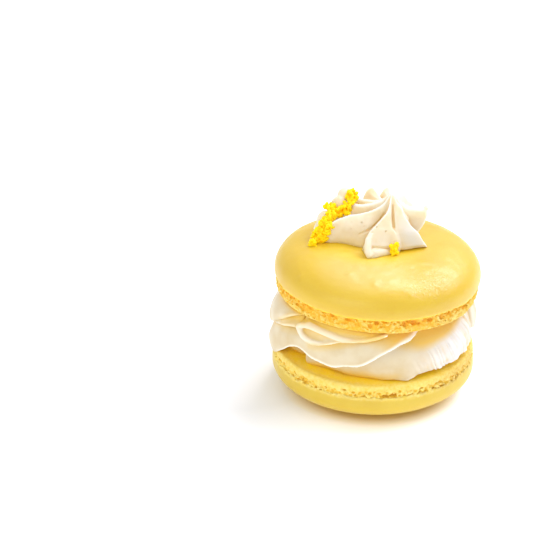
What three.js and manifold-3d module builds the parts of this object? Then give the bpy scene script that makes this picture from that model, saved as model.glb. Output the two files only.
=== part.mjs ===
// A lemon-yellow french macaron: two almond shells, folded whipped cream between
// them, and a star-piped rosette with cake crumbs on top.
// Millimetres, +Z up. The origin is the middle of the spot the biscuit rests on.

import * as THREE from 'three';
import { mergeVertices } from 'three/addons/utils/BufferGeometryUtils.js';
import Module from 'manifold-3d';

// ---------------------------------------------------------------- driving sizes

const CLEARANCE = 0.3;          // gap between neighbouring solids
const SEGMENTS = 80;            // facets round a shell
const SEED = 6;

// Bottom shell: upside down, its dome on the table and its flat side up.
const BOTTOM = {
  spotRadius: 9,                // flat spot it rests on
  radius: 24.8,                 // at its widest
  widest: 7,                    // height of the widest ring
  crackRadius: 24.2,            // the line where foot and dome meet
  crack: 9.4,
  rimRadius: 24.1,
  rim: 12.3,                    // height of the flat side
  roundness: 2.45,              // exponent of the dome's outline
  pitDepth: 0.4,
};

// Top shell: dome up, on its ruffled foot. It leans a little to the right.
const TOP = {
  shift: 0.5,                   // off the bottom shell's axis, along X
  base: 26.5,                   // height of the foot's underside
  lean: 0.031,                  // radians about Y
  radius: 25,
  footRadius: 24.2,
  footHeight: 3.7,
  widest: 4.5,                  // above the underside
  apex: 11.5,                   // above the underside
  across: 5,                    // exponents of the dome's outline
  along: 2.3,
  pitDepth: 0.45,
};

// Whipped cream between the shells: folds laid over a core.
const CREAM = {
  coreRadius: 18.5,
  rootRadius: 16.5,             // how deep a fold's root lies in the core
  lipThickness: 0.5,
  lipBack: 2.2,                 // how far the underside of a lip is undercut
  step: 6.5,                    // degrees between two sections of a fold
};

// Each fold is named, and its stations run round the biscuit:
// [angle, lip radius, lip height, top radius, top height, belly].
// -90 degrees is the front, 0 the right and 90 the back.
const FOLDS = [
  { name: 'low front', droop: 0.3, round: 6, stations: [
    [-142, 21.2, 12.6, 21.6, 18.0, 0.4], [-128, 19.6, 12.6, 22.2, 17.4, 0.5],
    [-112, 20.0, 12.6, 22.8, 17.6, 0.8], [-92, 20.6, 12.6, 22.8, 20.0, 1.4],
    [-73, 23.0, 12.6, 21.4, 23.6, 1.6], [-66, 21.8, 12.6, 20.4, 26.2, 2.6],
    [-48, 21.8, 12.6, 19.6, 26.2, 3.2], [-30, 22.6, 12.8, 20.4, 26.2, 2.6],
    [-14, 23.8, 13.0, 22.0, 26.0, 1.2], [0, 24.0, 14.0, 22.0, 24.0, 0.4]] },
  { name: 'broad front', droop: 0.9, round: 9, stations: [
    [-200, 24.6, 12.0, 24.0, 17.0, 0.8], [-180, 25.0, 10.4, 24.4, 17.6, 1.0],
    [-166, 25.0, 11.6, 24.2, 19.6, 0.9], [-148, 24.9, 16.8, 24.0, 22.4, 0.7],
    [-137, 24.7, 18.3, 23.8, 24.0, 0.6], [-116, 24.9, 16.5, 23.4, 25.4, 0.8],
    [-102, 24.7, 17.7, 23.0, 26.2, 0.7], [-86, 24.5, 21.0, 22.6, 26.4, 0.5],
    [-70, 24.2, 23.5, 22.4, 26.4, 0.3], [-58, 23.4, 25.6, 22.0, 26.6, 0.1]] },
  { name: 'upper left', droop: 0.7, round: 10, stations: [
    [-214, 24.0, 21.0, 23.6, 26.0, 0.6], [-196, 25.1, 17.8, 24.0, 26.2, 1.1],
    [-180, 25.3, 17.5, 24.0, 26.6, 1.2], [-165, 25.2, 20.4, 24.0, 26.8, 0.8],
    [-148, 24.7, 24.2, 23.8, 27.0, 0.4], [-134, 24.2, 26.6, 23.6, 27.2, 0.1]] },
  { name: 'under left', droop: 0.5, round: 7, stations: [
    [-178, 24.4, 17.0, 23.8, 21.0, 0.3], [-162, 24.8, 19.9, 23.8, 23.0, 0.3],
    [-148, 24.7, 22.2, 23.8, 25.6, 0.2], [-134, 24.4, 23.4, 23.8, 26.6, 0.1]] },
  { name: 'spoon front', droop: 0.6, round: 5, stations: [
    [-139, 24.6, 23.4, 23.8, 25.4, -0.2], [-135, 25.0, 21.6, 23.9, 27.0, -0.5],
    [-127, 25.1, 20.9, 24.0, 26.4, -0.6], [-115, 24.9, 22.6, 24.0, 25.8, -0.4],
    [-102, 24.5, 24.6, 23.9, 25.6, -0.1]] },
  { name: 'ridge front', droop: 0.4, round: 9, stations: [
    [-134, 24.6, 26.2, 22.6, 27.4, 0.2], [-122, 24.9, 25.9, 22.0, 27.4, 0.3],
    [-104, 24.8, 24.7, 21.6, 27.2, 0.4], [-92, 24.4, 25.6, 21.6, 27.0, 0.3],
    [-80, 23.6, 26.6, 21.6, 27.0, 0.1]] },
  { name: 'right', droop: 0.6, round: 8, stations: [
    [-18, 23.4, 17.0, 22.4, 25.6, 0.6], [-4, 24.1, 14.6, 22.8, 25.8, 1.1],
    [12, 24.3, 14.4, 22.8, 25.8, 1.1], [28, 24.2, 16.8, 22.8, 25.8, 0.8],
    [44, 23.6, 20.4, 22.6, 25.8, 0.3]] },
  { name: 'low back', droop: 0.3, round: 8, stations: [
    [8, 23.0, 12.6, 22.4, 18.0, 0.8], [34, 22.8, 12.6, 22.6, 20.0, 1.2],
    [62, 23.2, 12.7, 22.6, 21.0, 1.4], [92, 22.2, 12.6, 22.4, 20.0, 1.1],
    [124, 22.8, 12.6, 22.6, 20.5, 1.3], [158, 23.4, 12.8, 22.8, 19.0, 0.8],
    [176, 23.2, 13.4, 22.6, 17.5, 0.4]] },
  { name: 'broad back', droop: 0.9, round: 9, stations: [
    [22, 24.0, 21.4, 22.8, 25.8, 0.3], [42, 24.6, 18.6, 23.0, 25.8, 0.8],
    [64, 24.9, 16.6, 23.2, 26.0, 1.0], [86, 24.6, 17.4, 23.2, 26.2, 0.8],
    [104, 24.4, 20.0, 23.0, 26.4, 0.5], [118, 24.0, 23.6, 23.0, 26.6, 0.2]] },
  { name: 'left back', droop: 0.8, round: 9, stations: [
    [92, 24.0, 21.6, 23.0, 26.2, 0.4], [110, 24.7, 18.4, 23.2, 26.4, 0.8],
    [128, 25.0, 17.0, 23.4, 26.6, 1.0], [146, 24.8, 18.8, 23.6, 26.8, 0.7],
    [160, 24.2, 22.8, 23.6, 27.0, 0.3]] },
];

// Rosette: ridged arms run from one peak, and each one bends as it goes outwards.
const PEAK = { x: 3.8, y: 4, z: 49.9 };
const SWIRL = 20;               // degrees an arm turns between its root and its tip
const ROSETTE_FLOOR = 37;       // the arms reach down to here before the dome is cut away

// Each arm has a direction, a length, crest heights at 0.35, 0.7 and 1 of the length,
// and a half width; a tip of its own half width with its underside at a height, or
// a round end.
const ARMS = [
  { name: 'front left', turn: -112, length: 13.4, crest: [45.2, 43.2, 40.4], half: 4.6, tip: 2.2, under: 37 },
  { name: 'front right', turn: -36, length: 10.4, crest: [44.9, 41.6, 39.0], half: 4.3, tip: 0.6, under: 38.3 },
  { name: 'right', turn: 12, length: 9.6, crest: [46.0, 45.0, 46.0], half: 3.6, tip: 0.8, under: 42.8 },
  { name: 'back right', turn: 56, length: 9.4, crest: [47.0, 46.4, 45.6], half: 3.4, tip: 1.6, under: 40 },
  { name: 'back', turn: 90, length: 10.2, crest: [46.4, 45.6, 46.8], half: 3.2, tip: 1.6, under: 41 },
  { name: 'back left', turn: 114, length: 11.2, crest: [46.0, 45.2, 46.6], half: 3.3, tip: 1.7, under: 41 },
  { name: 'far left', turn: 139, length: 15.6, crest: [46.2, 45.6, 45.6], half: 3.2, round: true },
  { name: 'mid left', turn: 158, length: 16.0, crest: [46.2, 45.7, 45.2], half: 3.3, round: true },
  { name: 'left', turn: 175, length: 19.4, crest: [46.4, 45.4, 42.6], half: 3.5, round: true },
  { name: 'big left', turn: 195, length: 16.4, crest: [46.0, 45.3, 44.2], half: 4.6, round: true },
];

// Heaps of cake crumb along the left arms, and one at the front:
// [x, y, radius of the heap, grains].
const CRUMB_HEAPS = [
  [-5.5, 8.0, 1.5, 12], [-7.2, 6.4, 1.0, 6], [-8.6, 5.4, 1.5, 12], [-10.3, 4.0, 1.4, 10],
  [-11.6, 2.5, 1.0, 6], [-12.8, 1.0, 1.0, 6], [-13.6, -0.4, 1.2, 9], [-15.2, -1.0, 0.9, 6],
  [4.2, -5.4, 0.9, 6],
];
const GRAIN_RADIUS = [0.5, 0.85];

// -------------------------------------------------------------------- materials

const finish = (color, roughness) => new THREE.MeshStandardMaterial({ color, roughness, metalness: 0 });
const shellYellow = finish(0xf4d76a, 0.5);
const creamWhite = finish(0xfbf3e0, 0.45);

// ---------------------------------------------------------------------- helpers

const wasm = await Module();
wasm.setup();

// Seeded random numbers between 0 and 1.
function randomSource(seed) {
  let state = seed >>> 0;
  return () => {
    state = (state * 1664525 + 1013904223) >>> 0;
    return state / 4294967296;
  };
}

// A solid from a closed geometry, with the vertices at one place made one.
function toSolid(geometry) {
  const bare = geometry.clone();
  bare.deleteAttribute('normal');
  bare.deleteAttribute('uv');
  const merged = mergeVertices(bare, 1e-4);
  return new wasm.Manifold(new wasm.Mesh({
    numProp: 3,
    vertProperties: new Float32Array(merged.attributes.position.array),
    triVerts: new Uint32Array(merged.index.array),
  }));
}

function toGeometry(solid) {
  const mesh = solid.getMesh();
  const geometry = new THREE.BufferGeometry();
  geometry.setAttribute('position', new THREE.BufferAttribute(mesh.vertProperties, 3));
  geometry.setIndex(new THREE.BufferAttribute(mesh.triVerts, 1));
  geometry.computeVertexNormals();
  return geometry;
}

// The largest body of a solid, without the scraps that a cut leaves.
function largestBody(solid) {
  const bodies = solid.decompose();
  return bodies.reduce((best, body) => (body.volume() > best.volume() ? body : best));
}

function join(solids) {
  return solids.reduce((whole, solid) => whole.add(solid));
}

// A closed skin over rings of points. Each ring turns right-handed about the way
// the rings advance.
function loft(rings) {
  const size = rings[0].length;
  const last = rings.length - 1;
  const points = rings.flat();
  const faces = [];
  for (let i = 0; i < last; i += 1) {
    for (let j = 0; j < size; j += 1) {
      const a = i * size + j;
      const b = i * size + (j + 1) % size;
      faces.push(a, b, b + size, a, b + size, a + size);
    }
  }
  const middle = (ring) => ring.reduce((sum, p) => sum.add(p), new THREE.Vector3()).divideScalar(size);
  const start = points.push(middle(rings[0])) - 1;
  const end = points.push(middle(rings[last])) - 1;
  for (let j = 0; j < size; j += 1) {
    const next = (j + 1) % size;
    faces.push(start, next, j);
    faces.push(end, last * size + j, last * size + next);
  }
  const geometry = new THREE.BufferGeometry().setFromPoints(points);
  geometry.setIndex(faces);
  return geometry;
}

// Smooth values between rows of numbers, looked up by their first number.
function between(rows, at) {
  let k = 1;
  while (k < rows.length - 1 && rows[k][0] < at) {
    k += 1;
  }
  const [before, from, to, after] = [rows[Math.max(k - 2, 0)], rows[k - 1], rows[k],
    rows[Math.min(k + 1, rows.length - 1)]];
  const span = to[0] - from[0];
  const t = THREE.MathUtils.clamp((at - from[0]) / span, 0, 1);
  return from.map((value, n) => {
    const slopeIn = (to[n] - before[n]) / (to[0] - before[0]) * span;
    const slopeOut = (after[n] - value) / (after[0] - from[0]) * span;
    const t2 = t * t;
    const t3 = t2 * t;
    return value * (2 * t3 - 3 * t2 + 1) + slopeIn * (t3 - 2 * t2 + t)
      + to[n] * (3 * t2 - 2 * t3) + slopeOut * (t3 - t2);
  });
}

// ----------------------------------------------------------------------- shells

// A quarter of a rounded outline, from its flat end to its widest point, with one
// exponent across and one along the axis: 2 and 2 is an ellipse, more is squarer.
function roundedOutline(radius, depth, across, along) {
  const steps = 8;
  const points = [];
  for (let k = 0; k <= steps; k += 1) {
    const angle = (k / steps) * Math.PI / 2;
    points.push([radius * Math.sin(angle) ** (2 / across), depth * Math.cos(angle) ** (2 / along)]);
  }
  return points;
}

function bottomOutline() {
  const size = BOTTOM;
  const dome = roundedOutline(size.radius, size.widest, size.roundness, size.roundness)
    .filter(([r]) => r > size.spotRadius + 1)
    .map(([r, depth]) => [r, size.widest - depth]);
  return [
    [0, 0], [size.spotRadius, 0], ...dome,
    [size.radius - 0.15, size.crack - 0.8],
    [size.crackRadius, size.crack],
    [size.rimRadius + 0.35, size.crack + 0.9],
    [size.rimRadius + 0.3, size.rim - 1.1],
    [size.rimRadius, size.rim - 0.2],
    [size.rimRadius - 0.5, size.rim], [0, size.rim],
  ];
}

function topOutline() {
  const size = TOP;
  const dome = roundedOutline(size.radius, size.apex - size.widest, size.across, size.along)
    .reverse()
    .map(([r, height]) => [r, size.widest + height]);
  return [
    [0, 0], [size.footRadius - 0.5, 0],
    [size.footRadius, 0.3], [size.footRadius + 0.25, 1.3],
    [size.footRadius + 0.15, 2.4],
    [size.footRadius, size.footHeight - 0.5],
    [size.radius - 0.2, size.footHeight], ...dome,
  ];
}

// Turns an outline about the Z axis.
function turned(outline, segments = SEGMENTS) {
  const profile = outline.map(([r, z]) => new THREE.Vector2(r, z));
  return new THREE.LatheGeometry(profile, segments).rotateX(Math.PI / 2);
}

// Presses pits into the ring between two heights, deepest at its middle.
function pitRing(geometry, low, high, depth, seed) {
  const random = randomSource(seed);
  const waves = Array.from({ length: 9 }, (_, k) => ({
    turns: 5 + 4 * k,
    phase: random() * 2 * Math.PI,
    tilt: (random() - 0.5) * 3,
  }));
  const position = geometry.attributes.position;
  const point = new THREE.Vector3();
  for (let k = 0; k < position.count; k += 1) {
    point.fromBufferAttribute(position, k);
    const inRing = (point.z - low) / (high - low);
    if (inRing > 0 && inRing < 1) {
      const angle = Math.atan2(point.y, point.x);
      const rough = waves.reduce((sum, w) => (
        sum + Math.sin(w.turns * angle + w.phase + w.tilt * inRing * Math.PI)), 0) / 3;
      const inwards = depth * THREE.MathUtils.clamp(0.5 + 0.5 * rough, 0, 1);
      const radius = Math.hypot(point.x, point.y);
      const scale = 1 - inwards / radius;
      position.setXY(k, point.x * scale, point.y * scale);
    }
  }
  return geometry;
}

// The same turned outline, larger all round, for cutting away what lies against it.
function grown(outline, margin) {
  const bottom = Math.min(...outline.map(([, z]) => z));
  const top = Math.max(...outline.map(([, z]) => z));
  const middle = (bottom + top) / 2;
  const stretch = 1 + 2 * margin / (top - bottom);
  return turned(outline.map(([r, z]) => [r > 0 ? r + margin : 0, middle + (z - middle) * stretch]));
}

function placeTop(object) {
  object.position.set(TOP.shift, 0, TOP.base);
  object.rotation.y = TOP.lean;
  object.updateMatrix();
  return object;
}

const topPlace = placeTop(new THREE.Object3D()).matrix;
const bottomCutter = toSolid(grown(bottomOutline(), CLEARANCE));
const topCutter = toSolid(grown(topOutline(), CLEARANCE).applyMatrix4(topPlace));

// ---------------------------------------------------------------- cream filling

// How full a fold is near its ends, from almost nothing to 1.
function fullness(at, from, to, round) {
  const edge = Math.min(at - from, to - at) / round;
  return edge >= 1 ? 1 : Math.max(Math.sqrt(1 - (1 - edge) ** 2), 0.12);
}

// One cross-section of a fold, as points in its radial plane.
function foldSection(fold, angle) {
  const [, lipR, lipZ, topR, topZ, belly] = between(fold.stations, angle);
  const root = CREAM.rootRadius;
  const face = (t, weight) => [
    lipR + (topR - lipR) * t + belly * weight,
    lipZ + CREAM.lipThickness + (topZ - lipZ - CREAM.lipThickness) * t,
  ];
  const section = [
    [lipR - CREAM.lipThickness, lipZ],
    [lipR, lipZ + 0.6 * CREAM.lipThickness],
    face(0.2, 0.75), face(0.45, 1), face(0.75, 0.6),
    [topR, topZ], [root, topZ],
    [root, lipZ + fold.droop + 0.2],
    [lipR - CREAM.lipBack, lipZ + fold.droop],
  ];
  const stations = fold.stations;
  const full = fullness(angle, stations[0][0], stations[stations.length - 1][0], fold.round);
  const middle = (lipZ + topZ) / 2;
  return section.map(([r, z]) => [root + (r - root) * full, middle + (z - middle) * full]);
}

function foldSolid(fold) {
  const from = fold.stations[0][0];
  const to = fold.stations[fold.stations.length - 1][0];
  const steps = Math.round((to - from) / CREAM.step);
  const rings = [];
  for (let k = 0; k <= steps; k += 1) {
    const closerAtEnds = (1 - Math.cos(Math.PI * k / steps)) / 2;
    const angle = from + (to - from) * closerAtEnds;
    const turn = THREE.MathUtils.degToRad(angle);
    const ring = foldSection(fold, angle).map(([r, z]) => (
      new THREE.Vector3(r * Math.cos(turn), r * Math.sin(turn), z)));
    rings.push(ring.reverse());
  }
  return toSolid(loft(rings));
}

function fillingGeometry() {
  const core = toSolid(turned([
    [0, BOTTOM.rim], [CREAM.coreRadius, BOTTOM.rim],
    [CREAM.coreRadius, TOP.base], [0, TOP.base],
  ], 24));
  const cream = join([core, ...FOLDS.map(foldSolid)]);
  return toGeometry(largestBody(cream.subtract(bottomCutter).subtract(topCutter)));
}

// ---------------------------------------------------------------------- rosette

// A round arm narrows to a blunt end; the others end in a cut-off ridge.
const ROUND_FROM = 0.78;        // where along its length a round arm starts to close
const ROUND_END = 0.35;         // its size at the very end

function armSolid(arm) {
  const steps = 8;
  const tip = arm.round ? arm.half : arm.tip;
  const under = arm.round ? ROSETTE_FLOOR : arm.under;
  const crestRows = [[0, PEAK.z], [0.35, arm.crest[0]], [0.7, arm.crest[1]], [1, arm.crest[2]]];
  const widthRows = [[0, 0.7], [0.35, arm.half * 0.8], [0.7, arm.half], [1, tip]];
  const underRows = [[0, ROSETTE_FLOOR], [0.6, ROSETTE_FLOOR], [1, under]];
  const rings = [];
  for (let k = 0; k <= steps; k += 1) {
    const s = k / steps;
    const turn = THREE.MathUtils.degToRad(arm.turn + SWIRL * (1 - s));
    const across = new THREE.Vector3(-Math.sin(turn), Math.cos(turn), 0);
    const foot = new THREE.Vector3(PEAK.x + arm.length * s * Math.cos(turn),
      PEAK.y + arm.length * s * Math.sin(turn), 0);
    const [, crest] = between(crestRows, s);
    const [, half] = between(widthRows, s);
    const [, low] = between(underRows, s);
    const closing = arm.round ? Math.max((s - ROUND_FROM) / (1 - ROUND_FROM), 0) : 0;
    const size = Math.max(Math.sqrt(1 - closing ** 2), ROUND_END);
    const height = (crest - low) * size;
    rings.push([
      [-0.85, 0], [0.85, 0], [1, 0.22], [0.5, 0.58], [0, 1], [-0.5, 0.58], [-1, 0.22],
    ].map(([side, up]) => foot.clone()
      .addScaledVector(across, side * half * size)
      .setZ(low + up * height)));
  }
  return toSolid(loft(rings));
}

function coneSolid() {
  const outline = [[0, ROSETTE_FLOOR], [6, ROSETTE_FLOOR], [4.2, 43], [1.8, 46.5], [0, PEAK.z]];
  return toSolid(turned(outline, 12).translate(PEAK.x, PEAK.y, 0));
}

// Height of the highest of some geometries above a point of the table.
function heightAt(geometries, x, y) {
  const above = new THREE.Vector3(x, y, PEAK.z + 1);
  const down = new THREE.Raycaster(above, new THREE.Vector3(0, 0, -1));
  return down.intersectObjects(geometries.map((geometry) => new THREE.Mesh(geometry)))[0].point.z;
}

// Grains heaped on the surfaces under them, larger ones at the heart of a heap.
function crumbSolids(surfaces) {
  const random = randomSource(SEED);
  const grains = [];
  for (const [x, y, spread, count] of CRUMB_HEAPS) {
    const z = heightAt(surfaces, x, y) + 0.3 * spread;
    for (let k = 0; k < count; k += 1) {
      const radius = THREE.MathUtils.lerp(...GRAIN_RADIUS, random());
      const out = spread * Math.cbrt(random());
      const turn = random() * 2 * Math.PI;
      const lift = random() * 2 - 1;
      const level = Math.sqrt(1 - lift * lift);
      grains.push(toSolid(new THREE.IcosahedronGeometry(radius, 0)
        .rotateX(random() * Math.PI)
        .rotateZ(random() * Math.PI)
        .scale(1, 1, 0.8)
        .translate(x + out * level * Math.cos(turn), y + out * level * Math.sin(turn), z + out * lift)));
    }
  }
  return grains;
}

function rosetteGeometry() {
  const cream = join([coneSolid(), ...ARMS.map(armSolid)]);
  const dome = turned(topOutline()).applyMatrix4(topPlace);
  const dressed = cream.add(join(crumbSolids([toGeometry(cream), dome])));
  return toGeometry(largestBody(dressed.subtract(topCutter)));
}

// --------------------------------------------------------------------- assembly

function named(name, geometry, material) {
  const mesh = new THREE.Mesh(geometry, material);
  mesh.name = name;
  return mesh;
}

const macaron = new THREE.Group();

macaron.add(named('bottom_shell',
  pitRing(turned(bottomOutline()), BOTTOM.crack - 0.9, BOTTOM.rim - 0.3, BOTTOM.pitDepth, SEED + 1),
  shellYellow));

macaron.add(named('filling', fillingGeometry(), creamWhite));

const topGroup = placeTop(new THREE.Group());
topGroup.add(named('top_shell',
  pitRing(turned(topOutline()), 0.1, TOP.footHeight + 0.3, TOP.pitDepth, SEED + 2),
  shellYellow));
macaron.add(topGroup);

macaron.add(named('rosette', rosetteGeometry(), creamWhite));

export default macaron;
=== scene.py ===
"""A lemon-yellow french macaron with folded whipped cream, a piped rosette and cake crumbs.

Shapes are worked out in millimetres, in the frame of the CAD model, and become metres
when a mesh is made. Porous and creamy parts are solids sampled on a grid of points, as
distances to their surface, from which a skin of quads is taken. Angles are in degrees:
-90 is the front, 0 the right and 90 the back.
"""
import math

import bpy
import numpy as np
import openvdb
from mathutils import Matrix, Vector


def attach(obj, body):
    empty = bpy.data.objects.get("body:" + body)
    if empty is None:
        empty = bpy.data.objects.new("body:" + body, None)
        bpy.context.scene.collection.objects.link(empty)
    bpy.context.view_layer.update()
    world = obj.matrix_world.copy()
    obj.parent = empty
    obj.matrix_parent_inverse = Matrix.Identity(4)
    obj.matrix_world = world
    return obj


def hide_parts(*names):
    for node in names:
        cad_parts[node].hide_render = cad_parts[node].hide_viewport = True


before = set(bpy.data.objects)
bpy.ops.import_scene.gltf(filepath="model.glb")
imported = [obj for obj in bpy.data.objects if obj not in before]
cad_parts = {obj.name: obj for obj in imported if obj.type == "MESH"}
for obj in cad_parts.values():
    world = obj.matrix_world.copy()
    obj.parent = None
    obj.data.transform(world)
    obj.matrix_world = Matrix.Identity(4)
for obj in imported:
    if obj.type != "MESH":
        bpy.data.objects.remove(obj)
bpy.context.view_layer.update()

MM = 0.001

# A piece with more triangles than this is thinned out.
MOST_TRIANGLES = 192_000

# Steps between sample points, the corners of their boxes, and the value far from a solid.
FOOT_STEP = 0.17
CREAM_STEP = 0.2
ROSETTE_STEP = 0.15
CRUMB_STEP = 0.11
CREAM_BOX = ((-27.4, -27, 9.4), (27, 27, 28.4))
ROSETTE_BOX = ((-18, -11, 37), (15, 17.5, 51.5))
CRUMB_BOX = ((-18, -7.5, 36.8), (6.5, 11.5, 49.5))
FAR = 9.0

# How finely forms are divided: points between two knots of a loft and rings between two of
# its sections, points round a shell and the distance between those along its outline, rows in
# a table of smooth values, and entries along each side of a table of random ones.
LOFT_ACROSS, LOFT_ALONG = 6, 5
SHELL_ROUND, SHELL_SPACING = 480, 0.3
TABLE_SIZE, NOISE_SIZE = 400, 32

# Skin at the edge of a shell and above this height is as yellow as the rim of the lower foot: a deep gold,
# partly its own colour and partly painted shade, with a faint painted glow.
GOLD_AND_GLOW_ABOVE = 11

# ---------------- driving sizes, mm

# Bottom shell: dome on the table, its lowest B_FLAT made flat, and flat side up. The rows of
# a ring are height, radius and depth of its bubbly relief; it starts at an inner radius.
B_RADIUS, B_WIDEST, B_ROUND = 24.8, 7.0, 2.2
B_FLAT, B_INNER, FOOT_OUT = 0.25, 17.5, 24.3
B_EDGE, B_CRACK, B_RIM = 8.2, 9.3, 12.3
B_RING = [(B_EDGE, 24.1, 0.2), (9, 24.45, 0.5), (B_CRACK, 24.5, 0.9), (9.9, 24.55, 0.9),
          (10.4, 24.5, 0.4), (11.6, 24.4, 0.15), (12, 24.25, 0.15), (B_RIM, 24, 0.15)]

# Cracks in its foot, as points (angle, height), their radius and distance from the axis.
CRACKS = [
    [(-160, 9.4), (-153, 9.9), (-149, 10.4), (-144, 10.2), (-140.7, 9.9)],
    [(-138, 10.1), (-133, 10.3), (-128.5, 10.5), (-126, 9.4)], [(-130, 11.9), (-127, 11.5), (-125, 11)],
    [(-120, 9.6), (-112, 9.8), (-104, 9.8), (-97, 9.5)],
    [(-60, 10.3), (-53, 10.5), (-46, 10), (-38.5, 9.8), (-30, 10.2)],
]
CRACK_SIZE, CRACK_OUT = 0.2, 24.5

# Larger pores along its crack line, at these angles.
PORES_AT = (-141, -133, -126, -104, -97, -71, -64, -55, -47, -38, -30)

# Top shell, in its own frame: the underside of its foot is at height 0.
T_SHIFT, T_BASE, T_LEAN = 0.5, 26.5, 0.031
T_RADIUS, T_WIDEST, T_APEX = 25.0, 4.5, 11.5
T_ACROSS, T_ALONG = 5.0, 2.3
T_FOOT, T_INNER = 3.7, 21.0
T_RING = [(0, 24, 0.4), (0.3, 24.4, 0.5), (1.3, 24.6, 0.9), (2.4, 24.5, 1), (3.2, 24.35, 1),
          (T_FOOT + 0.5, 24.2, 0.8)]

# Small bumps in its skin: x, y, height, radius.
BUMPS = [
    (-8, -15.4, 0.16, 0.7), (-7.2, -15.1, 0.12, 0.6), (-19.2, -13.4, 0.2, 0.6), (13.8, -18.3, 0.15, 0.6),
    (6.5, -22, 0.12, 0.5), (-2, -19.5, 0.1, 0.6),
]

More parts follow.
